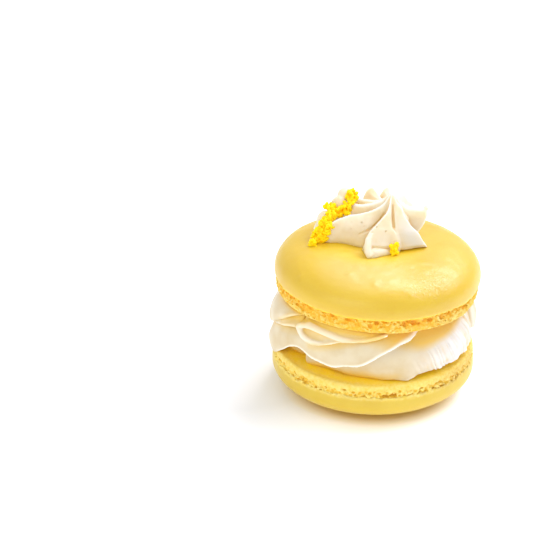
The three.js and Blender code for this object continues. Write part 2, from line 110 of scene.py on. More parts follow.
# Cream folds between the shells, each with the slope of its underside, how softly its ends
# fade, and stations: (angle, lip radius, lip height, top radius, top height, belly, flare).
# A flare is how far the lip turns out.
LIP, LIP_BACK, CORE_RADIUS = 0.3, 2.2, 18.5
FOLDS = {
    "low_front": (0.3, 0.8, [
        (-143, 21, 12.5, 21.2, 18, 0.3, 0), (-128, 19.7, 12.5, 22.2, 17.4, 0.4, 0.2),
        (-112, 20.1, 12.5, 22.6, 17.6, 0.5, 0.4), (-92, 20.8, 12.6, 22.6, 20, 0.9, 0.6),
        (-80, 22.1, 12.6, 22, 22, 1.1, 0.8), (-73, 23.5, 12.5, 21.4, 23.6, 1.4, 1),
        (-69, 23.6, 12.8, 21, 25, 1.9, 1), (-64, 23, 13.1, 20.6, 26.2, 2.6, 0.9),
        (-48, 23.2, 13.4, 20.2, 26.2, 3, 0.9), (-30, 24, 13.7, 20.6, 26.2, 2.4, 0.8),
        (-14, 24.4, 13.8, 22, 26, 1.2, 0.7), (-5, 24.3, 14, 22, 24, 0.6, 0.4)]),
    "broad_front": (1.1, 1.2, [
        (-212, 22.4, 14.2, 22.2, 15.8, 0.2, 0), (-200, 23.8, 12.2, 23.2, 16.8, 0.6, 0),
        (-190, 24.5, 11, 23.9, 17.2, 0.8, 0), (-180, 24.8, 10.4, 24.2, 17.6, 0.9, 0),
        (-166, 25, 11.6, 24.2, 19.6, 0.9, 0.1), (-153, 25, 15.2, 24, 22, 0.8, 0.4),
        (-145, 25.1, 17.7, 23.9, 23, 0.8, 0.7), (-137, 25.1, 18.3, 23.8, 24, 0.8, 0.8),
        (-127, 25.2, 17.1, 23.5, 24.6, 1, 0.9), (-116, 25.3, 16.5, 23, 25.4, 1.1, 0.9),
        (-102, 25.1, 17.7, 22.4, 26.2, 1.1, 0.9), (-88, 24.9, 20.6, 22, 26.4, 0.9, 0.9),
        (-78, 24.7, 22.5, 21.8, 26.4, 0.7, 0.9), (-67, 24.4, 23.8, 21.6, 26.4, 0.4, 0.7),
        (-58, 23.6, 25.6, 21.6, 26.6, 0.1, 0.3)]),
    "upper_left": (1, 0.8, [
        (-214, 23.2, 21, 21.6, 26, 0.5, 0), (-196, 24.2, 17.8, 21.8, 26.2, 1.1, 0),
        (-187, 24.8, 17.6, 22, 26.4, 1.3, 0), (-178, 25.2, 17.7, 22.2, 26.6, 1.4, 0),
        (-171, 25.1, 19, 22.4, 26.7, 1.3, 0), (-160, 24.9, 21.7, 22.9, 26.8, 1.1, 0),
        (-148, 24.7, 24.6, 23.3, 27, 0.6, 0), (-134, 24.2, 26.9, 23.4, 27.2, 0.1, 0)]),
    "under_left": (1, 0.6, [
        (-180, 24.2, 16.9, 23.6, 19, 0.2, 0), (-172, 24.4, 18.4, 23.6, 20, 0.3, 0),
        (-162, 24.6, 20.2, 23.4, 22.4, 0.5, 0), (-151, 24.8, 21.9, 23.2, 25, 0.6, 0.1),
        (-144, 24.8, 22.6, 23.2, 26.2, 0.6, 0.2), (-138.5, 24.7, 23.1, 23.2, 26.8, 0.3, 0.2)]),
    "spoon_front": (0.9, 0.7, [
        (-139, 24.8, 23.4, 24.2, 25.4, -0.3, 0), (-135, 24.9, 21.6, 24.1, 26.6, -0.7, 0),
        (-127, 25, 21.1, 24.2, 26.4, -0.7, 0), (-119, 25.1, 22, 24.2, 25.6, -0.4, 0),
        (-110, 24.9, 23.5, 24, 24.9, -0.2, 0), (-102, 24.6, 24.4, 24, 24.9, -0.1, 0)]),
    "back_of_spoon": (0, 1.2, [
        (-138, 23.9, 25.6, 22.6, 27.4, 0.3, 0), (-122, 24.5, 25.2, 23, 27.4, 0.3, 0),
        (-104, 24.4, 24.4, 22.6, 27.2, 0.4, 0), (-92, 23.9, 25, 22.2, 27, 0.3, 0),
        (-78, 22.8, 26, 21.6, 27, 0.1, 0)]),
    "right": (0.7, 0.8, [
        (-13, 24.2, 18, 22.6, 25.6, 0.5, 0), (-6, 24.8, 16.2, 22.8, 25.8, 1, 0.2),
        (6, 25, 15.2, 22.8, 25.8, 1.2, 0.3), (20, 24.8, 15.8, 22.8, 25.8, 1.1, 0.3),
        (34, 24.2, 17.8, 22.8, 25.8, 0.8, 0.3), (48, 23.6, 21, 22.6, 25.8, 0.3, 0.2)]),
    "low_back": (0.3, 1.6, [
        (-22, 22.4, 13, 21.8, 16, 0.3, 0), (-6, 23.6, 13, 22.2, 17.8, 0.6, 0.3),
        (14, 23.4, 12.9, 22.4, 18.6, 0.9, 0.6), (34, 23.6, 12.6, 22.6, 20, 1.1, 0.8),
        (62, 24, 12.9, 22.6, 21, 1.3, 0.8), (92, 23.2, 12.6, 22.4, 20, 1.1, 0.6),
        (124, 23.6, 12.7, 22.6, 20.5, 1.2, 0.7), (158, 23.8, 12.8, 22.8, 19, 0.8, 0.4),
        (176, 23.2, 13.4, 22.6, 17.5, 0.4, 0)]),
    "broad_back": (1, 1.2, [
        (22, 24.2, 21.4, 22.6, 25.8, 0.4, 0.6), (42, 24.9, 18.6, 22.6, 25.8, 1, 0.8),
        (64, 25.1, 16.6, 22.8, 26, 1.2, 0.9), (86, 24.9, 17.4, 22.8, 26.2, 1.1, 0.9),
        (104, 24.6, 20, 22.8, 26.4, 0.7, 0.8), (118, 24, 23.6, 22.8, 26.6, 0.3, 0.4)]),
    "left_back": (1, 1.2, [
        (92, 24.2, 21.6, 22.8, 26.2, 0.5, 0.6), (110, 24.9, 18.4, 22.8, 26.4, 1, 0.8),
        (128, 24.9, 17, 22.6, 26.6, 1.2, 0.8), (146, 24.2, 18.8, 22, 26.8, 0.8, 0.4),
        (160, 23.2, 22.8, 21.8, 27, 0.3, 0.1)]),
}

# Rolled rims and lumps on the folds: (angle, distance from the axis, height, radius).
ROLLS = {
    "spoon_top": [(-138.8, 24.6, 24, 0.7), (-137.6, 24.5, 24.8, 0.8), (-135, 24.45, 25.3, 0.85),
        (-131, 24.45, 25.6, 0.85), (-127, 24.5, 25.5, 0.8), (-122, 24.5, 25.2, 0.75),
        (-117, 24.5, 24.85, 0.7), (-110, 24.45, 24.4, 0.65), (-104, 24.4, 24.2, 0.6),
        (-97, 24.2, 24.55, 0.52), (-92, 24.05, 25.1, 0.46), (-86, 23.8, 25.9, 0.4)],
    "spoon_low": [(-138.8, 24.6, 24, 0.7), (-138, 24.65, 23, 0.65), (-136, 24.7, 22.2, 0.62),
        (-133, 24.7, 21.8, 0.58), (-129, 24.65, 21.6, 0.5), (-124.5, 24.5, 21.8, 0.35),
        (-120, 24.2, 22.3, 0.2)],
    "left_wall": [(-172, 20.4, 14.6, 2.4), (-165, 19.8, 14.4, 2.5), (-157, 18.2, 14.2, 2.5)],
    "right_lump": [(-7, 22.9, 24.6, 0.6), (-4, 23.7, 22.6, 0.9), (-2, 24.1, 20.2, 1), (0, 24.2, 17.6, 0.8),
        (1, 23.7, 15.6, 0.5)],
}

# Creases between the folds, in the same numbers.
CREASES = {
    "under_upper_left": [(-157, 25.2, 21.9, 0.2), (-151, 25, 23.5, 0.5), (-145, 24.7, 25, 0.8),
        (-140, 24.5, 26.1, 1), (-136, 24.4, 27, 1.1)],
    "under_left_wedge": [(-158, 25.2, 20.4, 0.2), (-152, 25.1, 21.3, 0.42), (-146, 25, 22.2, 0.6),
        (-142, 24.9, 22.7, 0.6)],
    "under_spoon": [(-131, 25.3, 20.4, 0.2), (-124, 25.2, 20.7, 0.3), (-116, 25.1, 22, 0.38),
        (-108, 24.9, 23.2, 0.4), (-98, 24.8, 24.1, 0.4), (-88, 24.6, 25.5, 0.35)],
}

# Angles where the front of the cream starts and ends, and where its torn streaks start.
FRONT_LEFT, FRONT_RIGHT, STREAKS_FROM = -142, -8, -72

# Painted golden shade on the cream below the top shell's foot: angles, how far down it reaches there,
# and its strength there.
UNDER_FOOT = [(-180, -105, -85, -72, -62, -50, -40, -31, -15, 0),
              (3.2, 3.2, 5.5, 6.6, 6.5, 5.6, 5, 4.4, 2.6, 1.5),
              (1, 1, 1.4, 2.2, 3.4, 3.8, 3.4, 2.6, 1.5, 1)]

# Rosette: its peak, the heights and radii of a cone below it, and sections along each arm,
# from beside the peak to its end. A section is the foot of one flank, one or two crests, and
# the foot of the other flank. A knot without a height is at ARM_FOOT. Before the sections
# comes how far each flank and the span between two crests swell.
PEAK = (3.8, 4.0, 49.9)
PEAK_CONE = ((37, 43, 46.5, PEAK[2]), (6, 4.2, 1.8, 0.15))
ARM_FOOT = 37
ARMS = {
    "front_left": ((0, 0.04, 0.08), [
        [(1.6, 3), (3.2, 1.8, 47.8), (3.65, 2.1, 47.2), (3.7, 2.4)],
        [(0.4, 1.6), (2.4, 0.4, 46.3), (3.6, 0.6, 45.8), (3.65, 0.8)],
        [(-0.9, 0.2), (1.1, -1, 45.1), (3.6, -0.8, 44.5), (3.7, -0.6)],
        [(-2.3, -1.2), (-0.3, -2.2, 44.1), (3.8, -2.2, 43.5), (4.2, -2)],
        [(-3.8, -3), (-1.6, -3.4, 43.1), (4.4, -3.2, 42.7), (5.1, -3)],
        [(-3.5, -4.4), (-2.3, -4.4, 41.9), (4.9, -4, 41.1), (5.5, -3.8)],
        [(-3.2, -5.8), (-2.4, -5.6, 40.3), (4.9, -4.6, 39.6), (5.5, -4.2)]]),
    "front_flap": ((0, 0.1, 0.15), [
        [(-2.5, -4.4), (-2.5, -5.6, 39.6), (-2.4, -7, 39.4), (-2.2, -8, 37.5)],
        [(-0.7, -4.4), (-0.7, -5.4, 39.6), (-0.7, -6.9, 39.5), (-0.7, -7.8, 37.5)],
        [(0.8, -4), (0.8, -5, 39.5), (0.8, -6.2, 39.4), (0.8, -6.9, 37.5)],
        [(2.7, -3.6), (2.7, -4.2, 39.2), (2.7, -5.3, 39.1), (2.7, -5.8, 37.5)],
        [(5, -3), (5, -3.4, 38.9), (5, -4.2, 38.7), (5.1, -4.5, 37.5)]]),
    "front_right": ((0, 0.03, 0), [
        [(4.3, 3), (4.3, 2.9, 47.5), (5, 2.9, 47.8), (6.2, 4)],
        [(4.3, 2), (4.3, 2.1, 46.9), (6.1, 1.9, 47.1), (7.8, 3.4)],
        [(4.33, 0.6), (4.33, 0.8, 45.8), (6.6, 1, 45.8), (8.6, 2.8)],
        [(4.4, -0.7), (4.4, -0.6, 44.5), (7.4, 0.3, 44.5), (9.6, 2.2)],
        [(4.6, -2.1), (4.6, -2, 43.2), (8.6, -0.4, 43), (10.8, 1.8)],
        [(4.7, -3.1, 38.2), (4.7, -3, 41.8), (10, -1, 41.7), (11.8, 1)],
        [(5, -3.7, 38.3), (5, -3.6, 40.2), (11, -1.5, 40.1), (12.3, 0, 37.4)],
        [(6, -3.8, 38.3), (6, -3.7, 38.9), (11.9, -1.8, 38.7), (12.4, -1.2, 37.8)]]),
    "right": ((-0.03, 0), [
        [(5.6, 3), (5.4, 4.3, 48.2), (5.8, 5.6)], [(8, 2.9), (7.4, 4.7, 46.3), (8, 6.6)],
        [(10.2, 3, 39.2), (10, 5, 45.4), (10.4, 6.8, 38.5)],
        [(11.6, 3.6, 41.2), (11.6, 4.8, 45.6), (11.8, 6, 41)],
        [(12.5, 4.2, 43.2), (12.7, 4.6, 46.2), (12.6, 5, 43.2)]]),
    "back_right": ((0.03, 0.03), [
        [(6, 4.6), (4.9, 5.8, 48.2), (3.6, 6.4)], [(7.8, 6.4), (6, 8, 47.7), (4.2, 8.6)],
        [(8.6, 8), (6.8, 9.5, 47.6), (5, 10.6)], [(9.8, 9.4), (8.2, 10.8, 45.4), (6.6, 12)],
        [(10.6, 10.6), (9.6, 11.6, 43.4), (8.4, 12.8)], [(10.9, 11.8), (10.5, 12.3, 41), (9.8, 12.9)]]),
    "back": ((0.05, 0.03, 0.12), [
        [(5.2, 6), (4.2, 6, 47.2), (3.4, 6, 47.2), (2.4, 6)],
        [(5.4, 9), (4.1, 9, 46.5), (3.1, 9, 46.4), (2, 9)],
        [(5.5, 11.2, 39), (3.9, 11.2, 46.9), (2.6, 11.2, 46.5), (1.4, 11.2, 39)],
        [(5, 12.5, 41.5), (3.6, 12.6, 47.8), (2.2, 12.5, 46.8), (1, 12.4, 41.5)]]),
    "back_left": ((0.08, 0.03, 0.12), [
        [(3.4, 6), (2.6, 6.2, 47), (2.2, 6, 47), (1, 5.6)],
        [(2.6, 8.8), (1.4, 8.8, 46.3), (0.4, 8.6, 46.2), (-0.8, 8.2)],
        [(1.9, 11.4, 38), (0.5, 11.2, 46.7), (-1, 11, 46.3), (-2.7, 10.6, 38)],
        [(1.6, 12.8, 41), (-0.5, 12.6, 47.8), (-1.8, 12.3, 46.8), (-2.9, 11.9, 41)]]),
    "far_left": ((0.05, 0.05), [
        [(2.6, 6.8), (2, 5.8, 47.6), (1.2, 4.4)], [(0.9, 8.6), (0, 7, 46.6), (-0.9, 5.4)],
        [(-2.6, 10.6), (-3.6, 8.8, 46.1), (-4.6, 7)], [(-5.6, 12.2, 38), (-6.4, 10, 46.6), (-7.6, 8, 38)],
        [(-7.2, 11.6, 40), (-7.6, 10.4, 46.6), (-8.2, 9, 40)]]),
    "mid_left": ((0.05, 0.05), [
        [(1.4, 6.4), (1.6, 5, 47), (1, 3.8)], [(-1.6, 8), (-2.4, 6.6, 45.8), (-3, 5)],
        [(-5.4, 9), (-6.2, 7.6, 45.2), (-6.8, 5.8)], [(-8.4, 9.6, 38), (-9, 8.2, 45), (-9.6, 6.4, 38)]]),
    "upper_left": ((0.04, 0.04), [
        [(3, 6), (2.9, 4.8, 48.4), (2.6, 3.6)], [(1.8, 6.4), (1.7, 4.7, 47.6), (1.6, 3)],
        [(-0.2, 6.8), (-0.2, 5, 46.9), (-0.2, 3)], [(-2.3, 7), (-2.3, 5.2, 46.3), (-2.3, 3.2)],
        [(-4.2, 7.4), (-4.2, 5.4, 46.3), (-4.2, 3.4)], [(-5.8, 8), (-5.6, 5.9, 46.5), (-5.6, 3.8)],
        [(-7.4, 8.6, 38), (-7.4, 6.8, 46.2), (-7.4, 4.6, 38)],
        [(-8.8, 8.4, 39), (-8.8, 7.2, 44.5), (-8.8, 5.6, 39)]]),
    "left": ((0.1, 0), [
        [(0.4, 1.4), (1.8, 2.7, 47.7), (1.4, 4.4)], [(-1.4, -0.4), (0, 2.3, 46.4), (0, 4.2)],
        [(-2.9, -2.4, 37.2), (-1.9, 2, 45.8), (-2, 4.2)], [(-4.6, -2, 37.4), (-3.8, 1.9, 45.4), (-4, 4.2)],
        [(-6.2, -1, 37.5), (-5.8, 1.8, 45.1), (-6, 4.2)], [(-8, -0.4, 37.5), (-7.4, 1.6, 44.5), (-7.6, 4.2)],
        [(-9.7, -0.2, 37.5), (-9.1, 1.4, 44), (-9.3, 4)], [(-11.5, 0, 37.5), (-11, 1.2, 43), (-11.2, 3.6)],
        [(-12.9, 0.5, 37.5), (-12.6, 1.3, 41), (-12.7, 2.6, 37.2)]]),
    "left_back": ((0.05, 0.05), [
        [(-4.6, 6.6), (-5, 5.2, 44.6), (-5.2, 3.6)], [(-8.2, 6.8), (-8.6, 5.2, 43.6), (-8.8, 3.4)],
        [(-11.6, 7, 38), (-12.2, 5.2, 43.4), (-12.4, 3.2, 38)],
        [(-13, 6.2, 38), (-13.4, 5, 42.4), (-13.4, 3.6, 38)]]),
    "left_low": ((0.05, 0.05), [
        [(-9, 4.8), (-9, 3.2, 42), (-9, 1.6)], [(-11.6, 5, 38), (-11.8, 3.6, 41.4), (-12, 2, 38)],
        [(-13.8, 4.4, 38), (-14, 3.5, 40.8), (-14, 2.4, 38)]]),
}

# An arm whose first crest is above this height starts at the peak itself.
PEAK_ARM = 46.9

# Round ends of the arms, and strands along them: x, y, z, radius.
LOBES = [
    (2.8, 11, 42.4, 2.5), (2.9, 11.3, 39.6, 2.6), (-0.9, 10.7, 42.2, 2.5), (-0.9, 11, 39.4, 2.6),
    (-6.6, 9.8, 42.6, 2.4), (-6.6, 9.9, 39.6, 2.6), (-12, 5.4, 39.4, 2.2), (-7, 10, 46.1, 2.1),
    (-8.5, 8, 44.6, 2.2), (-12.1, 5, 42.2, 2.1), (-13.1, 3.5, 40.5, 1.7), (12.5, 4.6, 45.9, 0.5),
]
FRONT_RIM = [
    (-1.2, -3.7, 42.4, 0.5), (-2, -4.8, 41.4, 0.7), (-2.2, -5.8, 40.2, 0.85), (-2.1, -6.8, 39.2, 0.85),
    (-1.8, -7.3, 38.6, 0.8),
]
BEHIND_SLOT = [
    (4.1, 3.9, 46.2, 0.5), (4.1, 2.5, 45.3, 0.8), (4.13, 1.1, 44.1, 0.8), (4.2, -0.3, 42.9, 0.8),
    (4.3, -1.3, 42.1, 0.8),
]
FRONT_VALLEY = [
    (4.4, -1.9, 42.7, 0.4), (4.6, -2.6, 41.7, 0.7), (4.9, -3.1, 40.4, 0.8), (5.2, -3.5, 39, 0.8),
]

# Grooves in the cream: x, y, z, radius.
GROOVES = {
    "slot": [(4.1, 3, 47.3, 0.1), (4.1, 1.6, 46.3, 0.2), (4.13, 0.2, 45.1, 0.26), (4.2, -1.2, 43.9, 0.26),
        (4.3, -2, 43.2, 0.1)],
    "front_crease": [(-1.2, -6.5, 39.8, 0.25), (0.8, -5.8, 39.7, 0.3), (3, -5, 39.3, 0.25)],
    "left_valley": [(1.9, 1.8, 45.1, 0.2), (1.2, 1.2, 44.1, 0.3), (-0.24, 0.33, 42.63, 0.32),
        (-1.46, -0.52, 42.11, 0.28), (-2.68, -1.04, 41.83, 0.2), (-4.11, -1.09, 41.11, 0.05)],
}

# Heaps of cake crumb along the left arms, and at the front: x, y, z, radius.
CRUMB_HEAPS = [
    (-5.7, 8.3, 46.9, 1.7), (-5.8, 7, 46.2, 0.9), (-5.9, 5.9, 45.8, 0.7), (-7.05, 6, 45.4, 1.2),
    (-10.2, 6.2, 44.5, 1.4), (-11.6, 6.6, 45.2, 0.7), (-8.5, 5.6, 43.7, 1.55), (-10.7, 3.8, 43.6, 1.4),
    (-6.8, 5.4, 44.2, 0.9), (-12.2, 2.7, 42.4, 1.35), (-13.4, 1.8, 41, 1.2), (-14.5, 2.2, 39, 1.2),
    (-12.7, 0.4, 39.6, 1.05), (-15.1, -0.9, 38.6, 0.95), (-13.9, 0.6, 38.6, 0.8), (-10.9, 1, 42.3, 0.85),
    (-11.6, 0.6, 40.9, 0.9), (-12, 0.2, 39.4, 0.85), (4.15, -4.9, 39.6, 1), (4.05, -5.3, 38.4, 0.85),
]

# Small bubbles burst in the cream: x, y, z, radius.
BUBBLES = [
    (-5.89, 0.72, 43.51, 0.14), (-5.89, 0.12, 42.74, 0.16), (-6, 0, 42, 0.2), (-5.98, -0.09, 40.7, 0.22),
    (-3.54, 0.34, 43.43, 0.26), (0, -2.59, 43.52, 0.24), (-1.14, -3.69, 42.73, 0.2),
    (2.22, -3.15, 42.87, 0.16), (0.89, -4.24, 41.4, 0.16), (-2.92, -0.36, 42.97, 0.14),
    (-7.44, 0.86, 43.44, 0.12), (11.95, 4.4, 45.96, 0.22),
]

# ---------------- looks

# Camera: where it stands, mm, how far it looks down, and its lens on a 36 mm sensor.
CAMERA_PLACE = (-26.309, -453.717, 263.059)
CAMERA_DOWN, CAMERA_LENS, CAMERA_SENSOR = 27.0, 141.84, 36

# The wrinkled patch of skin on the dome, front right.
WRINKLES_AT = (12.4, -18.2, 35.8)

# Patches of painted light and shade: centre, the distances from it between which the patch fades out,
# mm, its strength and its colour. In turn a painted sheen at the front of the dome, painted golden
# shade round the rosette where its shadow falls, painted light on the cream at the front right,
# painted shade on the rosette's right, and painted shade on the lower foot at the right, which takes two
# colours.
PAINTED_SHEEN_PATCH = ((-3, -11, 40), 7, 13, 0.85, (238, 210, 104))
ROSETTE_SHADE_PATCH = ((-1, 0, 38), 8, 13, 0.75, (255, 216, 6))
LIT_CREAM_PATCH = ((18.5, -16, 17), 3, 14, 1, (224, 218, 209))
ROSETTE_RIGHT_SHADE_PATCH = ((10.5, -1, 41.5), 3, 7, 1, (216, 207, 187))
RIM_SHADE_PATCH = ((23, -13, 11), 6, 14, 0.85)
RIM_SHADE_COLOURS = ((206, 160, 46), (232, 200, 104))

# Crumb of each shell's foot: dry, pale, sunk and deep colour. The sunk and deep colours darken the
# pores, partly the crumb's own deeper colour and partly painted shade.
TOP_CRUMB = [(224, 179, 46), (238, 212, 112), (235, 180, 22), (234, 166, 18)]
BOTTOM_CRUMB = [(238, 204, 80), (244, 219, 126), (236, 192, 48), (216, 162, 24)]

# The table: distances from the macaron's axis between which its golden tint, a painted shadow, gives way
# to white and its own glow grows to full, mm, and the strength of that glow. Round SHADE_AT it has
# none, which leaves a painted shadow there.
CONTACT_SHADOW_TINT, SHADOW_TINT_FROM, SHADOW_TINT_TO = (252, 222, 140), 17, 23
GLOW_FROM, GLOW_FULL, GLOW = 18.5, 22.5, 0.25
SHADE_AT, SHADE_NEAR, SHADE_FAR = (-34, 8, 0), 22, 38


# ---------------- shapes on a grid

class Block:
    """A box of sample points that holds one solid: below 0 inside it, above 0 outside."""

    def __init__(self, low, high, step):
        self.low = np.array(low, float)
        self.step = step
        self.count = np.ceil((np.array(high, float) - self.low) / step).astype(int) + 1
        axes = [self.low[k] + step * np.arange(self.count[k]) for k in range(3)]
        grid = np.meshgrid(*axes, indexing="ij", sparse=True)
        self.x, self.y, self.z = [values.astype(np.float32) for values in grid]
        self.radius = np.hypot(self.x, self.y)
        self.angle = np.degrees(np.arctan2(self.y, self.x))
        self.value = np.full(self.count, FAR, np.float32)

    def noise(self, size, seed):
        """Smooth random values of about -1 to 1, over features of about that size."""
        weights = []
        for k in range(3):
            at = np.arange(self.count[k]) * self.step / size
            knots = int(at[-1]) + 5
            away = np.abs(at[:, None] - np.arange(-1, knots - 1)[None, :])
            near = 2 / 3 - away ** 2 + away ** 3 / 2
            far = (2 - away) ** 3 / 6
            weights.append(np.where(away < 1, near, np.where(away < 2, far, 0)).astype(np.float32))
        out = np.random.default_rng(seed).uniform(-3, 3, [w.shape[1] for w in weights])
        out = out.astype(np.float32)
        for weight in weights[::-1]:
            out = np.tensordot(weight, out, axes=(1, 2))
        return out

    def window(self, centre, reach):
        """The part of the grid within reach of a point, as slices and offsets from it."""
        low = np.floor((np.array(centre) - reach - self.low) / self.step).astype(int)
        high = np.ceil((np.array(centre) + reach - self.low) / self.step).astype(int) + 1
        low, high = np.maximum(low, 0), np.minimum(high, self.count)
        i, j, k = [slice(a, b) for a, b in zip(low, high)]
        offsets = (self.x[i] - centre[0], self.y[:, j] - centre[1], self.z[:, :, k] - centre[2])
        return (i, j, k), offsets

    def put(self, away, soft, hollow, where=...):
        """Adds a form, given as distances to its surface, to the solid or takes it away."""
        if hollow:
            self.value[where] = smooth_max(self.value[where], -away, soft)
        else:
            self.value[where] = smooth_min(self.value[where], away, soft)

    def ball(self, centre, radius, soft, hollow, squash=(1, 1, 1)):
        """Adds a ball to the solid, or hollows one out of it."""
        where, (dx, dy, dz) = self.window(centre, radius * max(squash) + 2 * soft + self.step)
        a, b, c = squash
        away = (np.sqrt((dx / a) ** 2 + (dy / b) ** 2 + (dz / c) ** 2) - radius) * min(squash)
        if away.size > 0:
            self.put(away, soft, hollow, where)

    def along(self, path, soft):
        """Distances to a strand along a path of (x, y, z, radius), and FAR beyond its surroundings."""
        path = np.array(path, float)
        away = np.full(self.count, FAR, np.float32)
        reach = path[:, 3].max() + 3 * soft + self.step
        for start, end in zip(path[:-1], path[1:]):
            span = (end - start)[:3]
            middle = (start + end)[:3] / 2
            where, (dx, dy, dz) = self.window(middle, np.abs(span).max() / 2 + reach)
            part = np.clip((dx * span[0] + dy * span[1] + dz * span[2]) / (span @ span), -0.5, 0.5)
            near = np.sqrt((dx - part * span[0]) ** 2 + (dy - part * span[1]) ** 2
                           + (dz - part * span[2]) ** 2)
            near -= start[3] + (part + 0.5) * (end[3] - start[3])
            away[where] = np.minimum(away[where], near)
        return away

    def strand(self, path, soft, hollow=False):
        """Adds a strand along a path of (x, y, z, radius), or hollows a groove."""
        self.put(self.along(path, soft), soft, hollow)

    def loft(self, sections, swell, soft):
        """Adds a solid whose surface runs through sections, each a row of 3D knots."""
        points, (quads, triangles) = loft_mesh(sections, swell)
        grid = openvdb.FloatGrid.createLevelSetFromPolygons(
            (points - self.low).astype(np.float32), triangles=triangles.astype(np.uint32),
            quads=quads.astype(np.uint32), transform=openvdb.createLinearTransform(self.step),
            halfWidth=6.0)
        away = np.zeros(self.count, np.float32)
        grid.copyToArray(away)
        self.put(away, soft, False)

    def crowding(self, neighbours, points, reach):
        """How much of the space within reach of points is filled, from 0 to 1."""
        filled = unit(0.5 - np.minimum(self.value, neighbours) / self.step)
        filled = filled.astype(np.float32)
        half = max(int(round(reach / self.step / 2)), 1)
        width = 2 * half + 1
        for axis in (0, 0, 1, 1, 2, 2):
            room = [(half + 1, half) if k == axis else (0, 0) for k in range(3)]
            total = np.cumsum(np.pad(filled, room, mode="edge"), axis=axis)
            total = np.moveaxis(total, axis, 0)
            filled = np.moveaxis((total[width:] - total[:-width]) / width, 0, axis)
        return self.sample(filled, points)

    def closeness(self, paths, soft, reach, points):
        """How near points are to some round paths: 1 at their surface, 0 beyond reach."""
        away = FAR
        for path in paths:
            away = smooth_min(away, self.along(round_path(path), soft), soft)
        return unit(1 - self.sample(away, points) / reach)

    def skin(self):
        """The surface as points in millimetres and quads."""
        band = 3 * self.step
        grid = openvdb.FloatGrid(band)
        grid.gridClass = openvdb.GridClass.LEVEL_SET
        grid.copyFromArray(np.clip(self.value, -band, band))
        points, quads = grid.convertToQuads(0.0)
        return points * self.step + self.low, quads

    def sample(self, values, points):
        """Values of the grid at points in millimetres, from the eight samples round each."""
        at = (points - self.low) / self.step
        cell = np.clip(np.floor(at).astype(int), 0, self.count - 2)
        return from_corners(values, cell, unit(at - cell))


def unit(values):
    return np.clip(values, 0, 1)


def smooth_max(a, b, soft):
    mix = unit(0.5 + 0.5 * (a - b) / soft)
    return b + (a - b) * mix + soft * mix * (1 - mix)


def smooth_min(a, b, soft):
    return -smooth_max(-a, -b, soft)


def from_corners(table, cell, part):
    """Values inside the cells of a table, from the eight entries round each."""
    total = np.zeros(len(cell))
    for corner in np.ndindex(2, 2, 2):
        weight = np.prod(np.where(corner, part, 1 - part), axis=1)
        x, y, z = (cell + corner).T
        total += weight * table[x, y, z]
    return total


def between(rows, at):
    """Smooth values between rows of numbers, looked up by their first number."""
    rows = np.array(rows, float)
    key = rows[:, 0]
    slope = np.empty_like(rows)
    slope[1:-1] = (rows[2:] - rows[:-2]) / (key[2:] - key[:-2])[:, None]
    slope[0] = (rows[1] - rows[0]) / (key[1] - key[0])
    slope[-1] = (rows[-1] - rows[-2]) / (key[-1] - key[-2])
    at = np.clip(np.asarray(at, float), key[0], key[-1])
    k = np.clip(np.searchsorted(key, at, side="right") - 1, 0, len(key) - 2)
    span = (key[k + 1] - key[k])[..., None]
    t = (at - key[k])[..., None] / span
    return (rows[k] * (2 * t ** 3 - 3 * t ** 2 + 1) + slope[k] * span * (t ** 3 - 2 * t ** 2 + t)
            + rows[k + 1] * (3 * t ** 2 - 2 * t ** 3) + slope[k + 1] * span * (t ** 3 - t ** 2))


def tube_faces(rings, segments):
    """Quads between rings of points, and triangles from the end rings to two more points."""
    first = np.arange(rings * segments).reshape(rings, segments)
    after = np.roll(first, -1, axis=1)
    quads = np.stack([first[:-1], after[:-1], after[1:], first[1:]], -1).reshape(-1, 4)
    start = np.stack([np.full(segments, first.size), after[0], first[0]], 1)
    end = np.stack([np.full(segments, first.size + 1), first[-1], after[-1]], 1)
    return quads, np.concatenate([start, end])


def loft_mesh(sections, swell):
    """A closed mesh through sections; the span after each knot but the last swells outwards."""
    knots = np.array(sections, float)
    middle = knots.mean(axis=1)
    heading = np.gradient(middle, axis=0)
    across = []
    for k, bulge in enumerate(swell):
        start, end = knots[:, k], knots[:, k + 1]
        centre = (start + end) / 2
        out = np.cross(heading, end - start)
        out *= np.sign(np.sum(out * (centre - middle), axis=1, keepdims=True))
        length = np.linalg.norm(end - start, axis=1, keepdims=True)
        out *= bulge * length / (np.linalg.norm(out, axis=1, keepdims=True) + 1e-9)
        for t in np.arange(LOFT_ACROSS) / LOFT_ACROSS:
            across.append(start * (1 - t) + end * t + 4 * t * (1 - t) * out)
    across.append(knots[:, -1])
    rings = np.stack(across, axis=1)
    last = len(rings) - 1
    rows = np.concatenate([np.arange(last + 1)[:, None], rings.reshape(last + 1, -1)], axis=1)
    rows = between(rows, np.linspace(0, last, LOFT_ALONG * last + 1))
    rings = rows[:, 1:].reshape(len(rows), -1, 3)
    points = np.concatenate([rings.reshape(-1, 3), rings[[0, -1]].mean(axis=1)])
    return points, tube_faces(*rings.shape[:2])


def add_object(name, data):
    thing = bpy.data.objects.new(name, data)
    bpy.context.scene.collection.objects.link(thing)
    return thing


